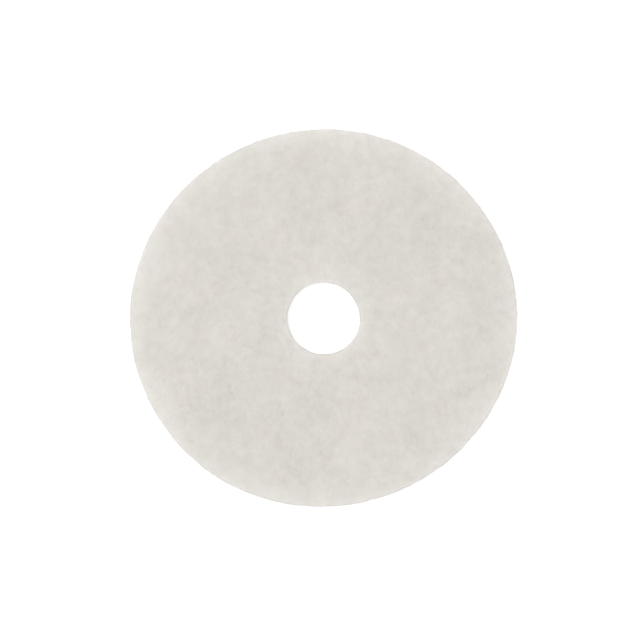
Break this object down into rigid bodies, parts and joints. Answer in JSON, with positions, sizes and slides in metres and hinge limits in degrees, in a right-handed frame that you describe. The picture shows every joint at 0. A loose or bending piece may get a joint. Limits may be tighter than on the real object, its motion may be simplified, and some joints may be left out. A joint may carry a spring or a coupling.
{
  "type": "floor polishing pad",
  "caption": "Thick white disc of nonwoven fibre with a round centre hole and softly rounded die-cut edges, for polishing hard floors.",
  "frame": {"origin": "centre of the hole, on the plane of the lower face that the pad lies on", "axes": "+Z along the hole's axis and up through the thickness, +X along the long axis of the slightly oval outline"},
  "size_m": [0.4376, 0.4264, 0.025],
  "materials": {
    "white_fibre": "matte, open nonwoven web of crimped fibres"
  },
  "bodies": {
    "root": {"polishing_pad": "white_fibre"}
  },
  "joints": []
}
